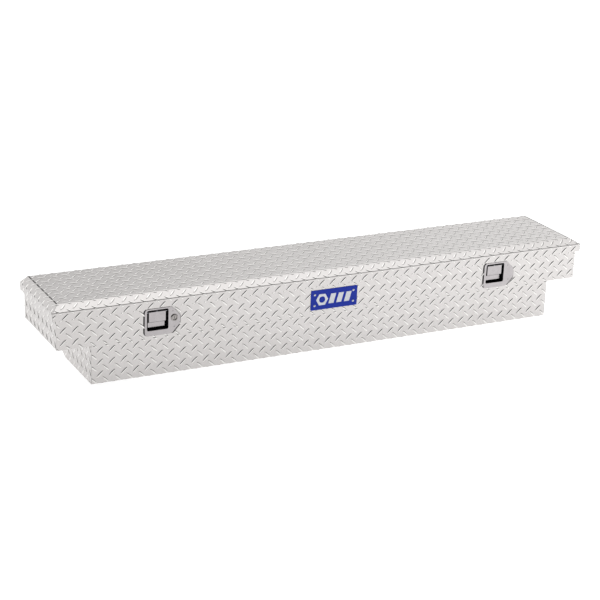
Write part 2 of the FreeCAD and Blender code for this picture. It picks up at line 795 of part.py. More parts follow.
def hook(x):
    """A hook whose finger lies on a circle about the cross rod, over the striker's bar."""
    ring = rod("X", HOOK_OUT, x - PLATE_HALF, ROD_Y, ROD_Z, PLATE_HALF * 2)
    ring = ring.cut(rod("X", HOOK_IN, x - 4.0, ROD_Y, ROD_Z, 8.0))
    centre = (ROD_Y, ROD_Z)
    wedge = [centre] + [polar(centre, HOOK_OUT * 1.4, angle) for angle in HOOK_SWEEP]
    finger = ring.common(prism("X", wedge, x - 4.0, x + 4.0))
    stem = strip(x, HOOK_STEM, 0.0, HOOK_IN + 2.0, HOOK_STEM_HALF)
    return cut(join([hub(x), stem, finger]), hub_holes(x))


def fork(x):
    """The lever on the cross rod whose slot takes the nose of the paddle's arm."""
    nose = nose_place()
    angle = math.degrees(math.atan2(nose[1] - ROD_Z, nose[0] - ROD_Y))
    reach = math.hypot(nose[0] - ROD_Y, nose[1] - ROD_Z) + FORK_OVER
    lever = strip(x, angle, 0.0, reach, FORK_HALF)
    slot = strip(x, angle, FORK_SLOT_START, reach + 5.0, FORK_SLOT_HALF)
    return cut(join([hub(x), lever.cut(slot)]), hub_holes(x))


def hub_xs():
    return [-HOOK_X, LATCH_XS[0], LATCH_XS[1], HOOK_X]


def latch_rod():
    bar = rod("X", ROD_R, -ROD_HALF, ROD_Y, ROD_Z, ROD_HALF * 2)
    return cut(bar, [roll_pin(x, HUB_R + 3.0) for x in hub_xs()])


def roll_pins():
    return Part.makeCompound([roll_pin(x, HUB_R) for x in hub_xs()])


def rod_guides():
    """Angles on the front panel, each with a web that the cross rod turns in."""
    points = [
        (FRONT_IN, ROD_Z - 12.0),
        (ROD_Y + 9.0, ROD_Z - 9.0),
        (ROD_Y + 9.0, ROD_Z + 9.0),
        (FRONT_IN, ROD_Z + 12.0),
    ]
    guides = []
    for x in GUIDE_XS:
        x0 = x - GUIDE_T / 2
        web = prism("X", points, x0, x0 + GUIDE_T, [0, 8.0, 8.0, 0])
        foot = box(x0, x + GUIDE_FOOT, FRONT_IN, FRONT_IN + FOOT, ROD_Z - 16.0, ROD_Z + 16.0)
        bore = rod("X", ROD_R + RUNNING, x - GUIDE_T, ROD_Y, ROD_Z, GUIDE_T * 2)
        guides.append(cut(join([web, foot]), [bore]))
    return Part.makeCompound(guides)


def return_springs():
    """A torsion coil round the cross rod beside each outer pair of guides."""
    springs = []
    for x in SPRING_XS:
        path = Part.makeHelix(SPRING_PITCH, SPRING_LENGTH, SPRING_R)
        ring = Part.Wire([Part.makeCircle(WIRE_R, vec(SPRING_R, 0, 0), vec(0, 1, 0))])
        coil = Part.Wire(path).makePipeShell([ring], True, True)
        coil.rotate(vec(0, 0, 0), vec(0, 1, 0), 90)
        coil.translate(vec(x, ROD_Y, ROD_Z))
        springs.append(coil)
    return Part.makeCompound(springs)


def latch_studs():
    studs = []
    for x in LATCH_XS:
        studs += [rod("Y", STUD_R, x + dx, PLATE_Y, z, STUD_LENGTH) for dx, z in STUDS]
    return Part.makeCompound(studs)


def latch_nuts():
    nuts = []
    for x in LATCH_XS:
        for dx, z in STUDS:
            bore = rod("Y", STUD_R, x + dx, FRONT_IN - 1.0, z, 6.0)
            nuts.append(hexagon(NUT_FLATS, x + dx, FRONT_IN, z, NUT_T).cut(bore))
    return Part.makeCompound(nuts)


# lock

def lock_housing():
    disc = rod("Y", LOCK_RIM_R, LOCK_X, PLATE_FACE - LOCK_RIM, LOCK_Z, LOCK_RIM)
    front_edge = [edge for edge in disc.Edges if edge.BoundBox.YMax < PLATE_FACE - LOCK_RIM + 0.01]
    rim = disc.makeFillet(LOCK_RIM_ROUND, front_edge)
    barrel = rod("Y", LOCK_BARREL_R, LOCK_X, PLATE_FACE - 1.0, LOCK_Z, LOCK_DEPTH + 1.0)
    bore = rod("Y", PLUG_R + RUNNING, LOCK_X, PLATE_FACE - 2.0, LOCK_Z, LOCK_DEPTH + 4.0)
    return cut(join([rim, barrel]), [bore])


def lock_nut():
    bore = rod("Y", LOCK_BARREL_R, LOCK_X, FRONT_IN - 1.0, LOCK_Z, LOCK_NUT_T + 2.0)
    return hexagon(LOCK_NUT_FLATS, LOCK_X, FRONT_IN, LOCK_Z, LOCK_NUT_T).cut(bore)


def lock_plug():
    front = PLATE_FACE - LOCK_RIM + 0.6
    rear = PLATE_FACE + LOCK_DEPTH
    body = rod("Y", PLUG_R, LOCK_X, front, LOCK_Z, rear - front)
    neck = rod("Y", PLUG_NECK_R, LOCK_X, rear - 1.0, LOCK_Z, 5.0)
    x0, x1 = LOCK_X - KEYWAY_HALF, LOCK_X + KEYWAY_HALF
    keyway = box(x0, x1, front - 1.0, PLATE_FACE + 4.0, LOCK_Z - KEYWAY_RISE, LOCK_Z + KEYWAY_RISE)
    return cut(join([body, neck]), [keyway])


def lock_cam():
    """A flat tongue on the plug's rear end, pointing down while the box is unlocked."""
    y0 = PLATE_FACE + LOCK_DEPTH + 0.5
    x0, x1 = LOCK_X - CAM_HALF, LOCK_X + CAM_HALF
    top, tip = LOCK_Z + CAM_HALF, LOCK_Z - CAM_REACH
    points = [(x0, top), (x0, tip), (x1, tip), (x1, top)]
    tongue = prism("Y", points, y0, y0 + CAM_T, [6.0, 3.0, 3.0, 6.0])
    return tongue.cut(rod("Y", PLUG_NECK_R, LOCK_X, y0 - 1.0, LOCK_Z, CAM_T + 2.0))


# badge

def badge_holes():
    start = FRONT - 3.0
    return [rod("Y", RIVET_HOLE_R, BADGE_X + dx, start, BADGE_Z + dz, 6.0) for dx, dz in BADGE_RIVETS]


def badge_plate():
    x0, x1 = BADGE_X - BADGE_W / 2, BADGE_X + BADGE_W / 2
    z0, z1 = BADGE_Z - BADGE_H / 2, BADGE_Z + BADGE_H / 2
    return cut(rounded_box("Y", x0, x1, z0, z1, FRONT - BADGE_T, FRONT, BADGE_CORNER), badge_holes())


def badge_rivets():
    rivets = []
    for dx, dz in BADGE_RIVETS:
        rivets.append(rivet(BADGE_X + dx, BADGE_Z + dz, FRONT - BADGE_T, BADGE_T + SHEET, -1))
    return Part.makeCompound(rivets)


def pair(name, right, shapes):
    shapes[name + "_right"] = right
    shapes[name + "_left"] = mirrored(right)


def build():
    shapes = {
        "trough": trough(),
        "front_panel": front_panel(),
        "back_panel": back_panel(),
        "weather_seal": weather_seal(),
        "hinge_leaf_lower": hinge_leaf(0, -1),
        "hinge_leaf_upper": hinge_leaf(1, 1),
        "hinge_rivets_lower": hinge_rivets(-1),
        "hinge_rivets_upper": hinge_rivets(1),
        "hinge_pin": hinge_pin(),
        "lid_skin": lid_skin(),
        "lid_core": lid_core(),
        "lid_liner": lid_liner(),
        "liner_screws": liner_screws(),
        "latch_rod": latch_rod(),
        "roll_pins": roll_pins(),
        "rod_guides": rod_guides(),
        "return_springs": return_springs(),
        "latch_studs": latch_studs(),
        "latch_nuts": latch_nuts(),
        "lock_housing": lock_housing(),
        "lock_nut": lock_nut(),
        "lock_plug": lock_plug(),
        "lock_cam": lock_cam(),
        "badge_plate": badge_plate(),
        "badge_rivets": badge_rivets(),
        "strut_balls": strut_balls(),
    }
    pair("end_sheet", end_sheet(), shapes)
    pair("strut_bracket_tub", strut_bracket_tub(), shapes)
    pair("strut_bracket_lid", strut_bracket_lid(), shapes)
    pair("strut_base_socket", strut_base_socket(), shapes)
    pair("strut_tube", strut_tube(), shapes)
    pair("strut_rod", strut_rod(), shapes)
    pair("strut_end", strut_end(), shapes)
    for name, side, x in (("left", -1, LATCH_XS[0]), ("right", 1, LATCH_XS[1])):
        shapes["latch_plate_" + name] = latch_plate(x, side < 0)
        shapes["latch_gasket_" + name] = latch_gasket(x, side < 0)
        shapes["latch_cup_" + name] = latch_cup(x)
        shapes["paddle_pin_" + name] = paddle_pin(x)
        shapes["paddle_" + name] = paddle(x)
        shapes["paddle_arm_" + name] = paddle_arm(x)
        shapes["fork_" + name] = fork(x)
        shapes["hook_" + name] = hook(side * HOOK_X)
        shapes["striker_" + name] = striker(side)
    return shapes


os.makedirs("parts", exist_ok=True)
for node, shape in sorted(build().items()):
    shape.exportStep(f"parts/{node}.step")
    room = shape.BoundBox
    lows = [round(v, 1) for v in (room.XMin, room.YMin, room.ZMin)]
    highs = [round(v, 1) for v in (room.XMax, room.YMax, room.ZMax)]
    state = "valid" if shape.isValid() else "NOT VALID"
    print(f"{node:24s} {len(shape.Solids):3d} solids {state} {shape.Volume:10.0f} mm3 {lows} {highs}")
print(f"rod turn {rod_turn():.4f} degrees for a paddle lift of {PADDLE_LIFT}")
print(f"strut length {strut_length():.3f}, direction {strut_direction()}")
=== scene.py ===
# %% [markdown]
# # A tread-plate tool box for a pickup bed
# The real box is folded from bright aluminium tread plate: a tub with a wing at each end, and one long
# lid. The design model already has every sheet, handle, hinge and strut at its true size. This lesson
# adds what that model leaves out: the raised tread, the weld beads, the mark on the badge, and the
# finish of every surface. It starts by loading the design model as a fixed frame, in metres.

import json
import math

import bmesh
import bpy
from mathutils import Matrix, Vector


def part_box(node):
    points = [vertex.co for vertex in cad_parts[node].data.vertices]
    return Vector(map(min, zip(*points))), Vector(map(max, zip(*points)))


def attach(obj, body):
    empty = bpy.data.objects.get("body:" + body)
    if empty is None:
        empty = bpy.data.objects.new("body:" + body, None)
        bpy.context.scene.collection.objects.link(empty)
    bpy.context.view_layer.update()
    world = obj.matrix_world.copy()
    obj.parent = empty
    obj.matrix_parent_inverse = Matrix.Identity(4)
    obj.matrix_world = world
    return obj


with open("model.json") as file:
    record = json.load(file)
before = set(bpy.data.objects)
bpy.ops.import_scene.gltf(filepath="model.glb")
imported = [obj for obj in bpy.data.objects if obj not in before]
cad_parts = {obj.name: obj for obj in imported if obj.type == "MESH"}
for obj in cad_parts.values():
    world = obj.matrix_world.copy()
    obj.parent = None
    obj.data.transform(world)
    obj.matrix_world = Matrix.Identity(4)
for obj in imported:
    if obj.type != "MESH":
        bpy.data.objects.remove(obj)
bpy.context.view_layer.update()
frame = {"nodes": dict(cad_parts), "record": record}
nodes = frame["nodes"]

# %% [markdown]
# ## Camera
# The box stands a little below eye level and is seen from its left front corner, with a long lens, so
# its far end is hardly smaller than its near end. The camera's own axes are worked out from a heading,
# a tilt and a small roll, because those three angles are easy to say and to change one at a time.

# %% Camera
MM = 0.001
HEADING = math.radians(27.51)
TILT = math.radians(20.04)
ROLL = math.radians(2.24)
CAMERA_AT = Vector((-2.2502, -4.2395, 1.8535))
LENS_MM = 100.6
FAR_CLIP = 60.0


def add_camera(place, heading, tilt, roll, lens):
    """A camera that looks along a heading from +Y towards +X, tilted down, and rolled."""
    flat_ahead = Vector((math.sin(heading), math.cos(heading), 0.0))
    ahead = flat_ahead * math.cos(tilt) - Vector((0.0, 0.0, math.sin(tilt)))
    level = Vector((math.cos(heading), -math.sin(heading), 0.0))
    upright = level.cross(ahead)
    right = level * math.cos(roll) + upright * math.sin(roll)
    up = upright * math.cos(roll) - level * math.sin(roll)
    camera = bpy.data.objects.new("camera", bpy.data.cameras.new("camera"))
    turn = Matrix((right, up, -ahead)).transposed().to_4x4()
    camera.matrix_world = Matrix.Translation(place) @ turn
    camera.data.lens = lens
    camera.data.clip_end = FAR_CLIP
    bpy.context.scene.collection.objects.link(camera)
    return camera


camera = add_camera(CAMERA_AT, HEADING, TILT, ROLL, LENS_MM)
bpy.context.scene.camera = camera
print("camera", [round(v, 3) for v in camera.location])

# %% [markdown]
# ## One way to add a node
# Every material and every Geometry Nodes tree below is built with one small function. It adds a node,
# sets the node's own properties, and fills its inputs, each with a plain value or with the output of
# another node. Colours are written as sRGB hex, as a paint chart gives them, and one function turns
# them into the linear values that the renderer works in.

# %% Helpers for nodes and colours


def colour(code):
    """Linear RGBA from an sRGB hex code such as #c0c0c0."""
    channels = [int(code[i:i + 2], 16) / 255 for i in (1, 3, 5)]
    linear = [c / 12.92 if c <= 0.04045 else ((c + 0.055) / 1.055) ** 2.4 for c in channels]
    return (*linear, 1.0)


def add(tree, kind, inputs=None, **settings):
    """Adds a node with its settings, and fills its inputs with values or other nodes' outputs."""
    made = tree.nodes.new(kind)
    for name, value in settings.items():
        setattr(made, name, value)
    for key, value in (inputs or {}).items():
        if isinstance(value, bpy.types.NodeSocket):
            tree.links.new(value, made.inputs[key])
        else:
            made.inputs[key].default_value = value
    return made


def per_metre(millimetres):
    """A texture scale whose pattern repeats about every so many millimetres."""
    return 1000.0 / millimetres


print("mid grey is", [round(c, 3) for c in colour("#808080")])

# %% [markdown]
# ## Materials: start from what the real one is
# All the metals share one recipe, because what tells them apart is how they were made. Rolling leaves
# long faint streaks, brushing leaves short tight ones, plating leaves a cloudy bloom, and handling
# leaves soft blotches where the gloss changes. So the recipe takes a streak size along each axis, how
# strongly the streaks show, and a slow blotch that changes the roughness. Patterns read Object
# coordinates, which are metres here, so that every scale comes from a real size.

# %% The metal recipe


def new_material(name):
    """An empty material with a Principled shader wired to its output."""
    material = bpy.data.materials.new(name)
    material.use_nodes = True
    tree = material.node_tree
    tree.nodes.clear()
    shader = add(tree, "ShaderNodeBsdfPrincipled")
    add(tree, "ShaderNodeOutputMaterial", {"Surface": shader.outputs["BSDF"]})
    return material, tree, shader


def stretched(tree, sizes_mm):
    """Object coordinates scaled so that a noise of scale 1 has these sizes along X, Y and Z."""
    where = add(tree, "ShaderNodeTexCoord")
    scale = tuple(per_metre(size) for size in sizes_mm)
    return add(tree, "ShaderNodeMapping", {"Vector": where.outputs["Object"], "Scale": scale}).outputs[0]


def spread(tree, value, low, high):
    """A 0 to 1 value carried to a range."""
    return add(tree, "ShaderNodeMapRange", {"Value": value, "To Min": low, "To Max": high}).outputs[0]


def metal(name, dark, light, roughness, streak_mm, streak_bump, blotch_mm=60.0, swing=0.06):
    """A bare metal: streaks from its making, and slow blotches in its colour and gloss."""
    material, tree, shader = new_material(name)
    blotch = add(tree, "ShaderNodeTexNoise", {
        "Vector": stretched(tree, (blotch_mm,) * 3), "Scale": 1.0, "Detail": 3.0, "Roughness": 0.55})
    streaks = add(tree, "ShaderNodeTexNoise", {
        "Vector": stretched(tree, streak_mm), "Scale": 1.0, "Detail": 4.0, "Roughness": 0.6})
    mixed = add(tree, "ShaderNodeMix", {
        0: blotch.outputs["Fac"], 6: colour(dark), 7: colour(light)}, data_type="RGBA")
    gloss = add(tree, "ShaderNodeMath", {
        0: spread(tree, blotch.outputs["Fac"], roughness - swing, roughness + swing),
        1: spread(tree, streaks.outputs["Fac"], -swing / 2, swing / 2)}, operation="ADD")
    bump = add(tree, "ShaderNodeBump", {
        "Strength": streak_bump, "Distance": 0.05 * MM, "Height": streaks.outputs["Fac"]})
    tree.links.new(mixed.outputs[2], shader.inputs["Base Color"])
    tree.links.new(gloss.outputs[0], shader.inputs["Roughness"])
    tree.links.new(bump.outputs[0], shader.inputs["Normal"])
    shader.inputs["Metallic"].default_value = 1.0
    return material


# Bright-rolled 1.6 mm tread plate: pale, satin, with long faint rolling streaks along the sheet.
tread_plate = metal("bright_rolled_tread_plate", "#c2bfbd", "#cfcccb", 0.3, (90.0, 3.0, 3.0), 0.25, 140.0)
# The lugs' crowns are burnished by the roll and by handling, so they are brighter and glossier.
tread_crown = metal("burnished_tread_crowns", "#d3d1cf", "#e4e2e0", 0.16, (14.0, 2.0, 2.0), 0.1, 90.0)
# Plain mill-finish sheet, the flat inside of the lid: duller, with a clear rolling direction.
mill_sheet = metal("mill_finish_aluminium", "#b4b5b6", "#c8c9ca", 0.42, (120.0, 2.2, 2.2), 0.5, 110.0)
# Extruded or drawn aluminium of the hinge, rivets and badge rivets: fine draw lines along X.
drawn_aluminium = metal("drawn_aluminium", "#bfc0c1", "#d6d7d8", 0.3, (60.0, 0.8, 0.8), 0.35, 35.0)
# Satin 304 stainless of the handle plates and paddles: short vertical brush lines, cooler and darker.
brushed_stainless = metal("satin_stainless", "#a29e9f", "#b7b3b4", 0.25, (0.5, 0.5, 14.0), 0.45, 22.0)
# Bright zinc on steel: a bluish grey with a cloudy bloom and no grain direction.
zinc_steel = metal("bright_zinc_plate", "#9a9da2", "#bbbec3", 0.34, (3.0, 3.0, 3.0), 0.25, 14.0, 0.1)
# Satin nickel of the lock: a warm grey, with a soft bloom from die casting and plating.
satin_nickel = metal("satin_nickel", "#8f8b89", "#a8a4a2", 0.24, (4.0, 4.0, 4.0), 0.1, 12.0, 0.04)
# Chromed strut rods: near mirror, only faintly clouded.
bright_chrome = metal("bright_chrome", "#c9cacc", "#dddee0", 0.1, (6.0, 6.0, 6.0), 0.05, 18.0, 0.03)
print("materials so far:", len(bpy.data.materials))

# %% [markdown]
# ## Rubber, paint, plastic and foam
# The other finishes aren't metal, so light enters them and comes back coloured. They share a second
# recipe with a fine grain: moulded rubber is matt with a slight tooth, baked enamel is smooth under a
# clear gloss, and cut foam is a mass of small cells. The grain's size in millimetres tells them apart.

# %% The recipe for everything that isn't metal


def coated(name, dark, light, roughness, grain_mm, grain_bump, coat=0.0, depth_mm=0.06, shine=0.5):
    """A rubber, paint, plastic or foam: a fine grain in its colour, gloss and surface."""
    material, tree, shader = new_material(name)
    grain = add(tree, "ShaderNodeTexNoise", {
        "Vector": stretched(tree, (grain_mm,) * 3), "Scale": 1.0, "Detail": 4.0, "Roughness": 0.6})
    mixed = add(tree, "ShaderNodeMix", {
        0: grain.outputs["Fac"], 6: colour(dark), 7: colour(light)}, data_type="RGBA")
    bump = add(tree, "ShaderNodeBump", {
        "Strength": grain_bump, "Distance": depth_mm * MM, "Height": grain.outputs["Fac"]})
    gloss = spread(tree, grain.outputs["Fac"], roughness - 0.05, roughness + 0.05)
    tree.links.new(mixed.outputs[2], shader.inputs["Base Color"])
    tree.links.new(gloss, shader.inputs["Roughness"])
    tree.links.new(bump.outputs[0], shader.inputs["Normal"])
    shader.inputs["Specular IOR Level"].default_value = shine
    shader.inputs["Coat Weight"].default_value = coat
    shader.inputs["Coat Roughness"].default_value = 0.08
    return material


# Foam-backed EPDM rubber of the seal and gaskets: very dark, matt, with a faint tooth.
seal_rubber = coated("moulded_epdm_rubber", "#0e0e0f", "#1c1c1d", 0.75, 0.8, 0.4)
# Black coat inside the handle cups, as painted shade: the stainless cups are made black to stand in for the
# shadow deep in the recess; thin, even, slightly glossy.
cup_painted_shade_coat = coated("cup_black_painted_shade", "#08080a", "#111114", 0.42, 2.0, 0.1)
# Baked enamel on the badge: deep clear blue, only a little shiny.
badge_enamel = coated("baked_blue_enamel", "#1c34aa", "#213cb8", 0.4, 30.0, 0.05, shine=0.15)
# Pale screen-printed ink of the badge's mark.
badge_ink = coated("pale_silver_ink", "#e4e8f2", "#f6f8fd", 0.4, 0.6, 0.15)
# Painted shade: a nearly black, matt strip along the top fold of each lid end, standing in for the line of
# shadow there.
fold_line_shade_paint = coated("fold_line_painted_shade", "#1a1919", "#2a2928", 0.8, 1.0, 0.3)
# Closed-cell foam core, seen only at its edges.
cut_foam = coated("cut_closed_cell_foam", "#c9bf9b", "#e3dab8", 0.9, 1.2, 0.9, depth_mm=0.4)
# Satin black paint of the strut tubes.
strut_paint = coated("satin_black_paint", "#0c0c0d", "#151517", 0.32, 1.5, 0.08, coat=0.3)
# Glass-filled nylon of the strut sockets: black, with a moulded grain.
socket_nylon = coated("glass_filled_nylon", "#141415", "#202022", 0.55, 0.7, 0.35)
print("finishes in all:", len(bpy.data.materials))

# %% [markdown]
# ## Dressing the design parts
# Every part of the design model gets its finish here. A part's own record names its material slot, so most
# of the work is one table from slot to finish. The handle cups are stainless pressings; their slot gets a
# black coat here as painted shade, which stands in for the shadow deep in the recess round the paddle.

# %% Give each part its finish
FINISH_OF_SLOT = {
    "tread_aluminium": tread_plate,
    "plain_aluminium": mill_sheet,
    "hinge_aluminium": drawn_aluminium,
    "stainless": brushed_stainless,
    # The cups' black is painted shade for the recess round the paddle.
    "cup_black": cup_painted_shade_coat,
    "zinc_steel": zinc_steel,
    "lock_chrome": satin_nickel,
    "badge_blue": badge_enamel,
    "seal_rubber": seal_rubber,
    "gasket_rubber": seal_rubber,
    "foam": cut_foam,
    "strut_black": strut_paint,
    "strut_chrome": bright_chrome,
    "socket_plastic": socket_nylon,
}
for row in frame["record"]["subparts"]:
    part = nodes[row["node"]]
    part.data.materials.clear()
    part.data.materials.append(FINISH_OF_SLOT[row["material_slot"]])

# %% [markdown]
# Pressed and cast parts have edges that are never quite sharp, and a rounded edge is what catches a
# line of light. The design meshes are loose triangles, so they are welded first, and then only the
# edges that turn sharply are rounded.

# %% Round the edges that catch the light
EDGE_ROUND = {
    "latch_plate_left": 0.5, "latch_plate_right": 0.5, "paddle_left": 0.5, "paddle_right": 0.5,
    "badge_plate": 0.3, "lock_housing": 0.4, "lock_plug": 0.3,
}
WELD_WITHIN = 0.01 * MM
SHARP = math.radians(40)


def round_edges(part, radius_mm):
    """Welds a part's loose triangles, then rounds every edge that turns sharply."""
    weld = part.modifiers.new("weld", "WELD")
    weld.merge_threshold = WELD_WITHIN
    bevel = part.modifiers.new("round", "BEVEL")
    bevel.limit_method = "ANGLE"
    bevel.angle_limit = SHARP
    bevel.width = radius_mm * MM
    bevel.segments = 2
    bevel.harden_normals = True


for name, radius_mm in EDGE_ROUND.items():
    round_edges(nodes[name], radius_mm)
print("rounded", len(EDGE_ROUND), "parts")

# %% [markdown]
# ## The tread: lugs on a flat sheet
# Tread plate is rolled flat: short raised lugs lie at 45 degrees, every second one turned the other
# way, and only then is the sheet cut and folded. The lesson makes it in the same order. Geometry Nodes
# lay the lugs on a flat sheet and cut them to its outline, and a second step folds them with the sheet.
# Two grids of points, one at the cell corners and one at the cell centres, carry the two directions.
# One lug is a ball drawn out to a long lens, so that it has a rounded crown and pointed ends.

# %% A Geometry Nodes tree that lays and cuts the lugs
PITCH = 36.0 * MM
LUG_LENGTH = 28.5 * MM
LUG_WIDTH = 6.8 * MM
LUG_HEIGHT = 1.7 * MM
TREAD_INPUTS = (
    ("Pitch", "NodeSocketFloat", PITCH),
    ("Columns", "NodeSocketInt", 10),
    ("Rows", "NodeSocketInt", 10),
    ("Start", "NodeSocketVector", (0.0, 0.0, 0.0)),
    ("Lug Size", "NodeSocketVector", (LUG_LENGTH / 2, LUG_WIDTH / 2, LUG_HEIGHT)),
    ("Outline", "NodeSocketObject", None),
    ("Cut-outs", "NodeSocketObject", None),
    ("Finish", "NodeSocketMaterial", None),
)


def new_node_tree(name, sockets):
    """A Geometry Nodes tree with named inputs, and its input and output nodes."""
    tree = bpy.data.node_groups.new(name, "GeometryNodeTree")
    tree.interface.new_socket("Geometry", in_out="OUTPUT", socket_type="NodeSocketGeometry")
    for label, kind, default in sockets:
        socket = tree.interface.new_socket(label, in_out="INPUT", socket_type=kind)
        if default is not None:
            socket.default_value = default
    return tree, add(tree, "NodeGroupInput").outputs, add(tree, "NodeGroupOutput")


def lug_grid(tree, given, lug, shift, turn):
    """Lugs of one direction on a grid of points, shifted by a share of the pitch."""
    size = []
    for axis in ("Columns", "Rows"):
        steps = add(tree, "ShaderNodeMath", {0: given[axis], 1: -1.0}, operation="ADD").outputs[0]
        length = add(tree, "ShaderNodeMath", {0: steps, 1: given["Pitch"]}, operation="MULTIPLY")
        size.append(length.outputs[0])
    grid = add(tree, "GeometryNodeMeshGrid", {
        "Size X": size[0], "Size Y": size[1],
        "Vertices X": given["Columns"], "Vertices Y": given["Rows"]})
    across = add(tree, "ShaderNodeCombineXYZ", {"X": size[0], "Y": size[1]})
    corner = add(tree, "ShaderNodeVectorMath", {
        0: across.outputs[0], 1: (0.5, 0.5, 0.0), 2: given["Start"]}, operation="MULTIPLY_ADD")
    step = add(tree, "ShaderNodeVectorMath", {
        0: (shift, shift, 0.0), "Scale": given["Pitch"]}, operation="SCALE")
    place = add(tree, "ShaderNodeVectorMath", {0: corner.outputs[0], 1: step.outputs[0]}, operation="ADD")
    moved = add(tree, "GeometryNodeSetPosition", {"Geometry": grid.outputs[0], "Offset": place.outputs[0]})
    return add(tree, "GeometryNodeInstanceOnPoints", {
        "Points": moved.outputs[0], "Instance": lug, "Rotation": (0.0, 0.0, math.radians(turn))}).outputs[0]


def tread_tree():
    """Both grids of lugs, cut to an outline and cleared from the cut-outs."""
    tree, given, result = new_node_tree("tread_lugs", TREAD_INPUTS)
    ball = add(tree, "GeometryNodeMeshUVSphere", {"Segments": 12, "Rings": 8, "Radius": 1.0})
    lying = add(tree, "GeometryNodeTransform", {
        "Geometry": ball.outputs[0], "Rotation": (0.0, math.radians(90), 0.0)})
    lug = add(tree, "GeometryNodeTransform", {
        "Geometry": lying.outputs[0], "Scale": given["Lug Size"]}).outputs[0]
    both = add(tree, "GeometryNodeJoinGeometry")
    tree.links.new(lug_grid(tree, given, lug, 0.0, 45.0), both.inputs[0])
    tree.links.new(lug_grid(tree, given, lug, 0.5, -45.0), both.inputs[0])
    laid = add(tree, "GeometryNodeRealizeInstances", {0: both.outputs[0]})
    smooth = add(tree, "GeometryNodeSetShadeSmooth", {0: laid.outputs[0]})
    outline = add(tree, "GeometryNodeObjectInfo", {"Object": given["Outline"]})
    cutouts = add(tree, "GeometryNodeObjectInfo", {"Object": given["Cut-outs"]})
    kept = add(tree, "GeometryNodeMeshBoolean", operation="INTERSECT", solver="MANIFOLD")
    tree.links.new(outline.outputs["Geometry"], kept.inputs["Mesh 2"])
    tree.links.new(smooth.outputs[0], kept.inputs["Mesh 2"])
    opened = add(tree, "GeometryNodeMeshBoolean", {
        "Mesh 1": kept.outputs[0]}, operation="DIFFERENCE", solver="MANIFOLD")
    tree.links.new(cutouts.outputs["Geometry"], opened.inputs["Mesh 2"])
    whole = add(tree, "GeometryNodeRealizeInstances", {0: opened.outputs[0]})
    dressed = add(tree, "GeometryNodeSetMaterial", {0: whole.outputs[0], "Material": given["Finish"]})
    tree.links.new(dressed.outputs[0], result.inputs[0])
    return tree


TREAD = tread_tree()
print("tread tree has", len(TREAD.nodes), "nodes")

# %% [markdown]
# ## From tree to plain mesh
# A tree's result has to become an ordinary mesh before it can ride on a moving body. So the tree is
# put on an empty object as a modifier, its inputs are set by their sockets' identifiers, the result is
# read back as a mesh, and the modifier is thrown away.

# %% Run a tree once and keep its mesh
# How far the two kinds of cutter reach below and above the flat sheet's face.
KEEP_FROM, KEEP_TO = -0.3 * MM, 4.0 * MM
DROP_FROM, DROP_TO = -1.0 * MM, 6.0 * MM


def mesh_object(name, mesh):
    """A mesh's object, in the scene, at the origin."""
    made = bpy.data.objects.new(name, mesh)
    bpy.context.scene.collection.objects.link(made)
    return made


def grown(tree, name, **values):
    """Runs a tree with named inputs and returns its result as a plain mesh."""
    carrier = mesh_object(name, bpy.data.meshes.new(name))
    modifier = carrier.modifiers.new("grow", "NODES")
    modifier.node_group = tree
    idents = {s.name: s.identifier for s in tree.interface.items_tree if s.in_out == "INPUT"}
    for label, value in values.items():
        modifier[idents[label.replace("_", " ")]] = value
    bpy.context.view_layer.update()
    ready = carrier.evaluated_get(bpy.context.evaluated_depsgraph_get())
    mesh = bpy.data.meshes.new_from_object(ready)
    bpy.data.objects.remove(carrier)
    mesh.name = name
    return mesh


def slab(name, outlines, low, high):
    """A flat block between two heights for each outline, which runs anticlockwise."""
    solid = bmesh.new()
    for outline in outlines:
        floor = [solid.verts.new((x, y, low)) for x, y in outline]
        roof = [solid.verts.new((x, y, high)) for x, y in outline]
        solid.faces.new(floor[::-1])
        solid.faces.new(roof)
        for i in range(len(floor)):
            j = (i + 1) % len(floor)
            solid.faces.new((floor[i], floor[j], roof[j], roof[i]))
    mesh = bpy.data.meshes.new(name)
    solid.to_mesh(mesh)
    solid.free()
    return mesh_object(name, mesh)


def flat_lugs(name, outline, start, holes=()):
    """Lugs on a flat sheet: start is where one lug of the rising direction lies."""
    xs, ys = zip(*outline)
    columns = int((max(xs) - min(xs)) / PITCH) + 3
    rows = int((max(ys) - min(ys)) / PITCH) + 3
    first = [low - PITCH + (at - low) % PITCH for at, low in zip(start, (min(xs), min(ys)))]
    keep = slab("keep", [outline], KEEP_FROM, KEEP_TO)
    drop = slab("drop", holes, DROP_FROM, DROP_TO)
    mesh = grown(TREAD, name, Columns=columns, Rows=rows, Start=(*first, 0.0), Outline=keep,
                 **{"Cut-outs": drop}, Finish=tread_crown)
    for cutter in (keep, drop):
        bpy.data.objects.remove(cutter)
    return mesh


trial = flat_lugs("trial", [(0, 0), (0.1, 0), (0.1, 0.1), (0, 0.1)], (0.0, 0.0))
print("a 100 mm square holds", len(trial.polygons), "faces of lugs")
bpy.data.meshes.remove(trial)

# %% [markdown]
# ## Folding a sheet
# A folded sheet is a path in section: straight runs joined by arcs of the bend's radius. A point on the
# flat sheet has a distance along that path, a place along the fold, and a height above the metal. To
# fold it, walk that distance along the path, and step off to the path's left by the height. Lugs that
# cross a bend are first scored along it, so that they bend round it instead of cutting the corner.

# %% A fold path and the folding step


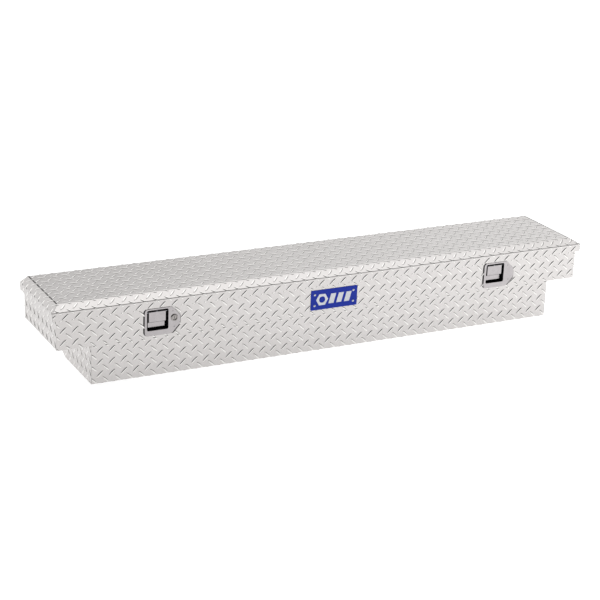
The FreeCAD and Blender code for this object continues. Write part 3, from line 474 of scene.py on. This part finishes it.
class FoldPath:
    """A section through a folded sheet: straight runs joined by arcs, outside to the left."""

    def __init__(self, points, radius):
        self.runs = []
        self.scores = []
        self.length = 0.0
        at = Vector(points[0])
        for i in range(1, len(points)):
            here = Vector(points[i])
            ahead = (here - at).normalized()
            if i == len(points) - 1:
                self._run(at, ahead, (here - at).length, 0.0)
                break
            onward = (Vector(points[i + 1]) - here).normalized()
            turn = math.atan2(ahead.x * onward.y - ahead.y * onward.x, ahead.dot(onward))
            reach = radius * math.tan(abs(turn) / 2)
            self._run(at, ahead, (here - at).length - reach, 0.0)
            self._run(here - ahead * reach, ahead, radius * abs(turn), turn)
            at = here + onward * reach

    def _run(self, start, ahead, length, turn):
        self.runs.append((self.length, start, ahead, length, turn))
        if turn:
            self.scores += [self.length + length * share for share in (0.0, 0.5, 1.0)]
        self.length += length

    def at(self, distance):
        """The point at a distance along the path, and the direction to its left."""
        chosen = [r for r in self.runs if r[0] <= distance] or self.runs[:1]
        begin, start, ahead, length, turn = chosen[-1]
        walked = distance - begin
        left = Vector((-ahead.y, ahead.x))
        if not turn:
            return start + ahead * walked, left
        radius = length / abs(turn)
        side = 1.0 if turn > 0 else -1.0
        angle = walked / radius
        point = start + ahead * (radius * math.sin(angle)) + left * (side * radius * (1 - math.cos(angle)))
        return point, left * math.cos(angle) - ahead * (side * math.sin(angle))


def scored(mesh, axis, distances):
    """Cuts a mesh's faces along lines across one axis, without parting them."""
    work = bmesh.new()
    work.from_mesh(mesh)
    direction = Vector((1, 0, 0)) if axis == 0 else Vector((0, 1, 0))
    for distance in distances:
        bmesh.ops.bisect_plane(
            work, geom=work.verts[:] + work.edges[:] + work.faces[:], dist=1e-7,
            plane_co=direction * distance, plane_no=direction)
    work.to_mesh(mesh)
    work.free()


def fold(mesh, path, axis, offset):
    """Folds a flat mesh along a path: axis 1 folds in Y and Z, and axis 0 folds in X and Z."""
    scored(mesh, axis, [s - offset for s in path.scores])
    for vertex in mesh.vertices:
        flat = vertex.co.copy()
        point, left = path.at(flat[axis] + offset)
        out = point + left * flat.z
        vertex.co = (flat.x, out.x, out.y) if axis == 1 else (out.x, flat.y, out.y)


corner = FoldPath([(0, 0), (0, 1), (1, 1)], 0.1)
print("a square corner with a 0.1 bend is", round(corner.length, 3), "long")

# %% [markdown]
# ## The lid's tread
# The lid is one sheet: a hanging flange, a bevel, the top, and a short flange at the back, with the same
# folds at both ends and mitred corners. The middle of the sheet is folded first, from the front flange
# over the bevel and the top, and then each end. All three share one lattice, so that the rows of lugs
# run on over the folds, as they do on the real lid.

# %% Lay and fold the lid's lugs
BEVEL_FRONT = 30.0 * MM
BEVEL_END = 25.0 * MM
BEVEL_HEIGHT = 14.0 * MM
LID_FOLD = 3.0 * MM
EDGE = 0.6 * MM
BACK_FLANGE_Z = 0.216
# Where one lug of the rising direction lies on the flat lid.
LID_LUG_AT = (-0.840, 0.007)
# The painted shade strip along each end's top fold: how far out and in from the fold it reaches, and how far
# it stands proud.
SHADE_LINE_OUT, SHADE_LINE_IN = 1.9 * MM, 1.0 * MM
SHADE_LINE_PROUD = 0.12 * MM

lid_low, lid_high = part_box("lid_skin")
lid_half = lid_high.x
top_half = lid_half - BEVEL_END
bevel_z = lid_high.z - BEVEL_HEIGHT
front_path = FoldPath([
    (lid_low.y, lid_low.z + EDGE), (lid_low.y, bevel_z), (lid_low.y + BEVEL_FRONT, lid_high.z),
    (lid_high.y, lid_high.z), (lid_high.y, BACK_FLANGE_Z + EDGE)], LID_FOLD)
flange_mark, bevel_mark, back_mark = front_path.scores[1::3]


def lid_middle():
    """Flange, bevel and top between the two mitres, on the flat."""
    outline = [
        (-lid_half, 0.0), (lid_half, 0.0), (lid_half, flange_mark), (top_half, bevel_mark),
        (top_half, back_mark), (lid_half - EDGE, back_mark + BEVEL_HEIGHT),
        (lid_half - EDGE, front_path.length), (EDGE - lid_half, front_path.length),
        (EDGE - lid_half, back_mark + BEVEL_HEIGHT), (-top_half, back_mark),
        (-top_half, bevel_mark), (-lid_half, flange_mark)]
    mesh = flat_lugs("lid_middle", outline, LID_LUG_AT)
    fold(mesh, front_path, 1, 0.0)
    return mesh


def lid_end(side):
    """The bevel and flange at one end: its path runs outwards on the right and inwards on the left."""
    points = [(top_half, lid_high.z), (lid_half, bevel_z), (lid_half, lid_low.z + EDGE)]
    if side < 0:
        points = [(-x, z) for x, z in points[::-1]]
    path = FoldPath(points, LID_FOLD)
    bevel = math.hypot(BEVEL_END, BEVEL_HEIGHT)
    reach = path.length
    rear = bevel_mark + lid_high.y - (lid_low.y + BEVEL_FRONT) - EDGE
    outline = [
        (top_half, bevel_mark), (top_half + bevel, bevel_mark - BEVEL_FRONT),
        (top_half + reach, bevel_mark - BEVEL_FRONT), (top_half + reach, rear), (top_half, rear)]
    outline = [(side * x, s) for x, s in outline]
    if side < 0:
        outline = outline[::-1]
    mesh = flat_lugs("lid_end", outline, LID_LUG_AT)
    offset = -top_half if side > 0 else top_half + reach
    fold(mesh, path, 0, offset)
    shift = lid_low.y + BEVEL_FRONT - bevel_mark
    mesh.transform(Matrix.Translation((0.0, shift, 0.0)))
    return mesh


def merged(name, meshes, body):
    """Several meshes as one piece that rides on a body."""
    work = bmesh.new()
    for mesh in meshes:
        work.from_mesh(mesh)
    whole = bpy.data.meshes.new(name)
    work.to_mesh(whole)
    work.free()
    for material in meshes[0].materials:
        whole.materials.append(material)
    piece = mesh_object(name, whole)
    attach(piece, body)
    print(name, "triangles", sum(len(face.vertices) - 2 for face in whole.polygons), "on", body)
    return piece


def lid_end_seams():
    """A thin dark strip along the top fold of each end, painted shade for the line of shadow there."""
    strips = []
    for side in (-1, 1):
        x0, x1 = sorted((side * (top_half + SHADE_LINE_OUT), side * (top_half - SHADE_LINE_IN)))
        strips.append([
            (x0, lid_low.y + BEVEL_FRONT), (x1, lid_low.y + BEVEL_FRONT),
            (x1, lid_high.y), (x0, lid_high.y)])
    seams = slab("lid_end_seams", strips, lid_high.z - MM, lid_high.z + SHADE_LINE_PROUD)
    seams.data.materials.append(fold_line_shade_paint)
    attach(seams, "lid")
    return seams


merged("lid_tread", [lid_middle(), lid_end(-1), lid_end(1)], "lid")
print("painted shade strips have", len(lid_end_seams().data.polygons), "faces")

# %% [markdown]
# ## The tub's tread
# The tub is welded from four kinds of sheet. The trough is folded round the bottom, so its path runs
# down the back, along the floor and up the front. The upper front and back are flat, with openings cut
# for the handles. Each end is a stepped sheet whose folds are inside corners, where a real press
# flattens the lugs, so its three faces are laid apart from each other. The trough's lugs are one piece
# and the walls' lugs another, because a piece of more than 200,000 triangles is thinned on export.

# %% Lay and fold the tub's lugs
TUB_FOLD = 2.6 * MM
REAR_BEVEL_IN = 60.0 * MM
REAR_BEVEL_RISE = 22.0 * MM
trough_low, trough_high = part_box("trough")
front_low, front_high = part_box("front_panel")
end_low, end_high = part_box("end_sheet_right")
TREAD_TOP = 213.0 * MM
OUTER_GAP, INNER_GAP = 3 * MM, 2 * MM
# Where one lug of the rising direction lies on each flat sheet.
TROUGH_LUG_AT = (-0.738, 0.100)
FRONT_LUG_AT = (-0.845, 0.172)
BACK_LUG_AT = (-0.845, 0.012)
END_LUG_AT, END_LUG_STEP = (0.011, -0.127), 0.009


def rectangle(x0, x1, y0, y1):
    """The corners of a rectangle, anticlockwise."""
    return [(x0, y0), (x1, y0), (x1, y1), (x0, y1)]


def trough_tread():
    """Back, rear bevel, floor and front of the trough, folded from one sheet."""
    path = FoldPath([
        (trough_high.y, trough_high.z - EDGE), (trough_high.y, REAR_BEVEL_RISE),
        (trough_high.y - REAR_BEVEL_IN, 0.0), (trough_low.y, 0.0),
        (trough_low.y, trough_high.z - EDGE)], TUB_FOLD)
    half = trough_high.x - EDGE
    rising = path.length - (trough_high.z - EDGE - TROUGH_LUG_AT[1])
    sheet = rectangle(-half, half, 0.0, path.length)
    mesh = flat_lugs("trough_tread", sheet, (TROUGH_LUG_AT[0], rising))
    fold(mesh, path, 1, 0.0)
    return mesh


def clear_of(part):
    """A rectangle a millimetre larger than a part, on the front sheet's flat."""
    low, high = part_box(part)
    return rectangle(low.x - MM, high.x + MM, low.z - MM, high.z + MM)


def front_tread():
    """The upper front sheet, cleared round the handle cups and the badge."""
    half = front_high.x - EDGE
    holes = [clear_of(part) for part in ("latch_cup_left", "latch_cup_right", "badge_plate")]
    sheet = rectangle(-half, half, front_low.z + EDGE, TREAD_TOP)
    mesh = flat_lugs("front_tread", sheet, FRONT_LUG_AT, holes)
    path = FoldPath([(front_low.y, 0.0), (front_low.y, 1.0)], TUB_FOLD)
    fold(mesh, path, 1, 0.0)
    return mesh


def back_tread():
    """The upper back sheet: its path runs down, so that the lugs lie outside."""
    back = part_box("back_panel")[1].y
    half = front_high.x - EDGE
    drop = TREAD_TOP - front_low.z - EDGE
    path = FoldPath([(back, TREAD_TOP), (back, TREAD_TOP - drop)], TUB_FOLD)
    mesh = flat_lugs("back_tread", rectangle(-half, half, 0.0, drop), BACK_LUG_AT)
    fold(mesh, path, 1, 0.0)
    return mesh


def beside_rear_bevel(side, start):
    """What the trough's rear bevel takes off a lower wall's flat, which begins at height start."""
    past = 0.4
    back, low = trough_high.y, -past * REAR_BEVEL_RISE
    inner = back - (1 + past) * REAR_BEVEL_IN
    corners = [(low, inner), (low, back + MM), (REAR_BEVEL_RISE, back + MM)]
    flat = [(side * (start - z), y) for z, y in corners]
    return flat if side > 0 else flat[::-1]


def end_treads(side):
    """Wing wall, wing floor and lower wall of one end, each laid on the flat and stood in place."""
    outer, inner = end_high.x, trough_high.x
    faces = [
        [(outer, TREAD_TOP), (outer, front_low.z + OUTER_GAP)],
        [(outer - OUTER_GAP, front_low.z), (inner + INNER_GAP, front_low.z)],
        [(inner, front_low.z - INNER_GAP), (inner, INNER_GAP)],
    ]
    meshes = []
    for i, points in enumerate(faces):
        if side < 0:
            points = [(-x, z) for x, z in points[::-1]]
        path = FoldPath(points, TUB_FOLD)
        sheet = rectangle(0.0, path.length, end_low.y + EDGE, end_high.y - EDGE)
        holes = [beside_rear_bevel(side, points[0][1])] if i == 2 else []
        start = (END_LUG_AT[0] + END_LUG_STEP * i, END_LUG_AT[1])
        mesh = flat_lugs("end_tread", sheet, start, holes)
        fold(mesh, path, 0, 0.0)
        meshes.append(mesh)
    return meshes


merged("trough_tread", [trough_tread()], "tub")
wall_meshes = [front_tread(), back_tread(), *end_treads(-1), *end_treads(1)]
merged("wall_tread", wall_meshes, "tub")

# %% [markdown]
# ## The mark on the badge
# The badge is an enamelled plate on four rivets. Its print here is a plain sign for a tool box, a nut
# beside three slanted bars, made as thin raised ink so that it catches light a little differently from
# the enamel round it.

# %% Print the badge
INK = 0.12 * MM
INK_SUNK = 0.02 * MM
NUT_LEFT, NUT_RADIUS, NUT_HOLE = 40 * MM, 20 * MM, 10 * MM
BAR_COUNT, BAR_PITCH_MM, FIRST_BAR_MM = 3, 26, -6
BAR_SLANT, BAR_HALF_WIDTH, BAR_HALF_HEIGHT = 4 * MM, 8.5 * MM, 15 * MM
plate_low, plate_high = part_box("badge_plate")
badge_mid = (plate_low + plate_high) / 2


def ink_shape(work, outline, hole=None):
    """A flat shape of ink on the badge's face, with an optional hole of as many points."""
    rings = []
    for shape in (outline, hole) if hole else (outline,):
        for y in (plate_low.y + INK_SUNK, plate_low.y - INK):
            rings.append([work.verts.new((x, y, z)) for x, z in shape])
    count = len(outline)
    for i in range(count):
        j = (i + 1) % count
        work.faces.new((rings[0][i], rings[0][j], rings[1][j], rings[1][i]))
        if hole:
            work.faces.new((rings[3][i], rings[3][j], rings[2][j], rings[2][i]))
            work.faces.new((rings[1][i], rings[1][j], rings[3][j], rings[3][i]))
            work.faces.new((rings[2][i], rings[2][j], rings[0][j], rings[0][i]))
    if not hole:
        work.faces.new(rings[1])
        work.faces.new(rings[0][::-1])


def ring_points(x, z, radius, corners, count=36):
    """Points round a regular polygon, or round a circle when corners is 0."""
    points = []
    for i in range(count):
        angle = 2 * math.pi * i / count
        reach = radius
        if corners:
            part = 2 * math.pi / corners
            reach = radius * math.cos(part / 2) / math.cos((angle % part) - part / 2)
        points.append((x + reach * math.cos(angle), z + reach * math.sin(angle)))
    return points


def slanted_bar(x, z):
    """A bar whose foot is set back and whose head leans forward by the slant."""
    foot, head = x - BAR_SLANT, x + BAR_SLANT
    return [
        (foot - BAR_HALF_WIDTH, z - BAR_HALF_HEIGHT), (foot + BAR_HALF_WIDTH, z - BAR_HALF_HEIGHT),
        (head + BAR_HALF_WIDTH, z + BAR_HALF_HEIGHT), (head - BAR_HALF_WIDTH, z + BAR_HALF_HEIGHT)]


def badge_mark():
    """The nut and the bars as one piece of ink."""
    work = bmesh.new()
    nut_x = badge_mid.x - NUT_LEFT
    nut = ring_points(nut_x, badge_mid.z, NUT_RADIUS, 6)
    ink_shape(work, nut, ring_points(nut_x, badge_mid.z, NUT_HOLE, 0))
    for i in range(BAR_COUNT):
        x = badge_mid.x + (i * BAR_PITCH_MM + FIRST_BAR_MM) * MM
        ink_shape(work, slanted_bar(x, badge_mid.z))
    bmesh.ops.recalc_face_normals(work, faces=work.faces)
    mesh = bpy.data.meshes.new("badge_mark")
    work.to_mesh(mesh)
    work.free()
    mesh.materials.append(badge_ink)
    piece = mesh_object("badge_mark", mesh)
    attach(piece, "tub")
    return piece


print("badge mark faces", len(badge_mark().data.polygons))

# %% [markdown]
# ## The lock's bezel
# The key lock sits in a domed ring. The ring is turned like the real one: a low arch in section, carried
# round the lock's middle. Its upper left side faces the dark of the room, and draws a dark crescent.

# %% Turn the lock's bezel
BEZEL_HALF_WIDTH = 2.2 * MM
BEZEL_HEIGHT = 1.7 * MM
BEZEL_SUNK = 0.1 * MM
lock_low, lock_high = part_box("lock_housing")
lock_mid = (lock_low + lock_high) / 2
lock_radius = (lock_high.x - lock_low.x) / 2


def ring_of_points(work, reach, y, count=48):
    """Points round the lock's middle, at a distance from it."""
    ring = []
    for turn in (2 * math.pi * j / count for j in range(count)):
        x, z = lock_mid.x + reach * math.cos(turn), lock_mid.z + reach * math.sin(turn)
        ring.append(work.verts.new((x, y, z)))
    return ring


def lock_bezel(arch=7):
    """A ring whose section is a half ellipse that stands on the lock's front face."""
    work = bmesh.new()
    middle = lock_radius - BEZEL_HALF_WIDTH - BEZEL_SUNK
    rings = []
    for i in range(arch):
        angle = math.pi * i / (arch - 1)
        y = lock_low.y + BEZEL_SUNK - BEZEL_HEIGHT * math.sin(angle)
        rings.append(ring_of_points(work, middle - BEZEL_HALF_WIDTH * math.cos(angle), y))
    for near, far in zip(rings, rings[1:] + rings[:1]):
        for j in range(len(near)):
            k = (j + 1) % len(near)
            work.faces.new((near[j], near[k], far[k], far[j])).smooth = True
    bmesh.ops.recalc_face_normals(work, faces=work.faces)
    mesh = bpy.data.meshes.new("lock_bezel")
    work.to_mesh(mesh)
    work.free()
    mesh.materials.append(satin_nickel)
    piece = mesh_object("lock_bezel", mesh)
    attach(piece, "tub")
    return piece


print("bezel faces", len(lock_bezel().data.polygons), "lock radius", round(lock_radius * 1000, 1), "mm")

# %% [markdown]
# ## Weld beads
# The sheets are joined with narrow beads. A bead is a row of overlapping puddles, so it is made like
# one: Geometry Nodes set a flattened ball at every step along a line, each a little bigger or smaller
# than the last, from a fixed seed.

# %% A Geometry Nodes tree for a bead
BEAD_INPUTS = (
    ("From", "NodeSocketVector", (0.0, 0.0, 0.0)),
    ("To", "NodeSocketVector", (0.0, 0.0, 0.1)),
    ("Step", "NodeSocketFloat", 1.6 * MM),
    ("Radius", "NodeSocketFloat", 1.5 * MM),
    ("Seed", "NodeSocketInt", 3),
    ("Finish", "NodeSocketMaterial", None),
)
TUB_BEAD, LID_BEAD = 0.6 * MM, 0.8 * MM
BEAD_PROUD, BEAD_STOP = 0.2 * MM, 3 * MM


def bead_tree():
    """A row of overlapping puddles from one point to another."""
    tree, given, result = new_node_tree("weld_bead", BEAD_INPUTS)
    line = add(tree, "GeometryNodeCurvePrimitiveLine", {"Start": given["From"], "End": given["To"]})
    points = add(tree, "GeometryNodeCurveToPoints", {
        "Curve": line.outputs[0], "Length": given["Step"]}, mode="LENGTH")
    puddle = add(tree, "GeometryNodeMeshIcoSphere", {"Radius": given["Radius"], "Subdivisions": 2})
    varied = add(tree, "FunctionNodeRandomValue", {2: 0.82, 3: 1.12, "Seed": given["Seed"]})
    row = add(tree, "GeometryNodeInstanceOnPoints", {
        "Points": points.outputs[0], "Instance": puddle.outputs[0], "Scale": varied.outputs[1]})
    whole = add(tree, "GeometryNodeRealizeInstances", {0: row.outputs[0]})
    smooth = add(tree, "GeometryNodeSetShadeSmooth", {0: whole.outputs[0]})
    dressed = add(tree, "GeometryNodeSetMaterial", {0: smooth.outputs[0], "Material": given["Finish"]})
    tree.links.new(dressed.outputs[0], result.inputs[0])
    return tree


BEAD = bead_tree()
# Fresh weld metal: paler and a little rougher than the sheet beside it.
weld_metal = metal("aluminium_weld", "#b9b8b7", "#dcdbda", 0.4, (2.0, 2.0, 2.0), 0.3, 8.0, 0.1)


def beads(name, lines, radius, body):
    """A bead along each line, all as one piece."""
    meshes = [
        grown(BEAD, name, From=start, To=end, Radius=radius, Seed=seed, Finish=weld_metal)
        for seed, (start, end) in enumerate(lines)]
    return merged(name, meshes, body)


def tub_seams():
    """The step where the trough meets the wing floors, front and back, and under each wing."""
    lines = []
    for side in (-1, 1):
        x = side * (trough_high.x + BEAD_PROUD)
        z = front_low.z - BEAD_PROUD
        lines.append(((x, trough_low.y + BEAD_STOP, z), (x, trough_high.y - BEAD_STOP, z)))
        lines.append(((x, front_low.y, BEAD_STOP), (x, front_low.y, z)))
        lines.append(((x, trough_high.y, REAR_BEVEL_RISE + MM), (x, trough_high.y, z)))
    return lines


def lid_seams():
    """The four mitred corners of the lid: up each flange and over each bevel."""
    lines = []
    for side in (-1, 1):
        low = (side * lid_half, lid_low.y, lid_low.z + MM)
        fold_at = (side * lid_half, lid_low.y, bevel_z)
        top = (side * top_half, lid_low.y + BEVEL_FRONT, lid_high.z)
        lines += [(low, fold_at), (fold_at, top)]
    return lines


beads("tub_weld_beads", tub_seams(), TUB_BEAD, "tub")
beads("lid_weld_beads", lid_seams(), LID_BEAD, "lid")

# %% [markdown]
# ## Studio
# The box stands on a white floor whose glow is painted light, a little stronger on its right, so that the
# box's right side is brighter and its shadow is faint. Bare metal only shows what is round it, so the room's
# brightness matters more than any lamp. The room rises from a dark horizon to a bright ceiling, and its
# horizon is lighter to the left and to the right. The far right is dimmed again, and the side behind the
# camera, most of all on its left, is nearly black. That dark side is what draws a thin dark edge along one
# flank of every lug. The lens itself sees plain white all round.

# %% Floor, world and ceiling light
FLOOR_Z = -LUG_HEIGHT
FLOOR_HALF = 40.0
# Painted light: the floor's own glow, from its left to its right, lights the box from below, brighter on the
# right, and thins the box's shadow.
FLOOR_PAINTED_GLOW = (0.78, 1.22)
PAINTED_GLOW_SPAN = (-1.2, 1.4)
SEEN_WHITE = 1.05
# Strength is base + up, right and left times the view's direction, kept between low and high.
ROOM = {"base": -0.46, "up": 2.0, "right": 1.73, "from": 0.28, "left": 1.3, "low": 0.1, "high": 1.25}
DARK_SIDE = {"start": -0.55, "end": 0.1, "lean": 0.42, "least": 0.05}
DIM_RIGHT = {"start": 0.6, "end": 0.8, "least": 0.3}


def add_floor():
    """A wide sheet just under the lowest lugs, whose painted glow grows to the right."""
    mesh = bpy.data.meshes.new("floor")
    corners = rectangle(-FLOOR_HALF, FLOOR_HALF, -FLOOR_HALF, FLOOR_HALF)
    mesh.from_pydata([(x, y, 0) for x, y in corners], [], [(0, 1, 2, 3)])
    material, tree, shader = new_material("white_floor_painted_glow")
    shader.inputs["Base Color"].default_value = colour("#b0b0b0")
    shader.inputs["Roughness"].default_value = 0.8
    shader.inputs["Specular IOR Level"].default_value = 0.2
    shader.inputs["Emission Color"].default_value = colour("#ffffff")
    where = add(tree, "ShaderNodeTexCoord")
    across = add(tree, "ShaderNodeSeparateXYZ", {0: where.outputs["Object"]}).outputs["X"]
    glow = add(tree, "ShaderNodeMapRange", {
        "Value": across, "From Min": PAINTED_GLOW_SPAN[0], "From Max": PAINTED_GLOW_SPAN[1],
        "To Min": FLOOR_PAINTED_GLOW[0], "To Max": FLOOR_PAINTED_GLOW[1]})
    tree.links.new(glow.outputs[0], shader.inputs["Emission Strength"])
    mesh.materials.append(material)
    floor = mesh_object("floor", mesh)
    floor.location.z = FLOOR_Z
    return floor


def add_panel(name, place, target, width, height, power):
    """A soft rectangular light that faces a point."""
    light = bpy.data.lights.new(name, "AREA")
    light.shape = "RECTANGLE"
    light.size, light.size_y = width, height
    light.energy = power
    panel = bpy.data.objects.new(name, light)
    panel.location = place
    panel.rotation_euler = (Vector(target) - Vector(place)).to_track_quat("-Z", "Y").to_euler()
    bpy.context.scene.collection.objects.link(panel)
    return panel


def weighted(tree, terms, offset):
    """Offset plus each value times its weight."""
    total = offset
    for value, weight in terms:
        product = add(tree, "ShaderNodeMath", {0: value, 1: weight, 2: total}, operation="MULTIPLY_ADD")
        total = product.outputs[0]
    return total


def add_world():
    """A room that is bright above, dark at the horizon and darkest behind the camera."""
    world = bpy.data.worlds.new("studio")
    world.use_nodes = True
    tree = world.node_tree
    tree.nodes.clear()
    where = add(tree, "ShaderNodeTexCoord")
    x, y, z = add(tree, "ShaderNodeSeparateXYZ", {0: where.outputs["Generated"]}).outputs
    right = add(tree, "ShaderNodeMath", {0: x, 1: ROOM["from"]}, operation="MAXIMUM").outputs[0]
    left = add(tree, "ShaderNodeMath", {0: x, 1: 0.0}, operation="MINIMUM").outputs[0]
    rise = weighted(tree, ((z, ROOM["up"]), (right, ROOM["right"]), (left, -ROOM["left"])), ROOM["base"])
    room = add(tree, "ShaderNodeClamp", {"Value": rise, "Min": ROOM["low"], "Max": ROOM["high"]})
    lean = weighted(tree, ((y, 1.0), (x, DARK_SIDE["lean"])), 0.0)
    lit = add(tree, "ShaderNodeMapRange", {
        "Value": lean, "From Min": DARK_SIDE["start"], "From Max": DARK_SIDE["end"],
        "To Min": DARK_SIDE["least"]}, interpolation_type="SMOOTHSTEP")
    dimmed = add(tree, "ShaderNodeMapRange", {
        "Value": x, "From Min": DIM_RIGHT["start"], "From Max": DIM_RIGHT["end"],
        "To Min": 1.0, "To Max": DIM_RIGHT["least"]}, interpolation_type="SMOOTHSTEP")
    sides = add(tree, "ShaderNodeMath", {0: lit.outputs[0], 1: dimmed.outputs[0]}, operation="MULTIPLY")
    strength = add(tree, "ShaderNodeMath", {0: room.outputs[0], 1: sides.outputs[0]}, operation="MULTIPLY")
    around = add(tree, "ShaderNodeBackground", {"Color": colour("#ffffff"), "Strength": strength.outputs[0]})
    seen = add(tree, "ShaderNodeBackground", {"Color": colour("#ffffff"), "Strength": SEEN_WHITE})
    path = add(tree, "ShaderNodeLightPath")
    mix = add(tree, "ShaderNodeMixShader", {
        0: path.outputs["Is Camera Ray"], 1: around.outputs[0], 2: seen.outputs[0]})
    add(tree, "ShaderNodeOutputWorld", {"Surface": mix.outputs[0]})
    bpy.context.scene.world = world


add_floor()
add_world()
add_panel("ceiling", place=(0.9, 1.0, 3.2), target=(0.0, 0.0, 0.2), width=3.6, height=2.4, power=8.0)
bpy.context.scene.view_settings.view_transform = "Standard"
bpy.context.scene.view_settings.look = "None"
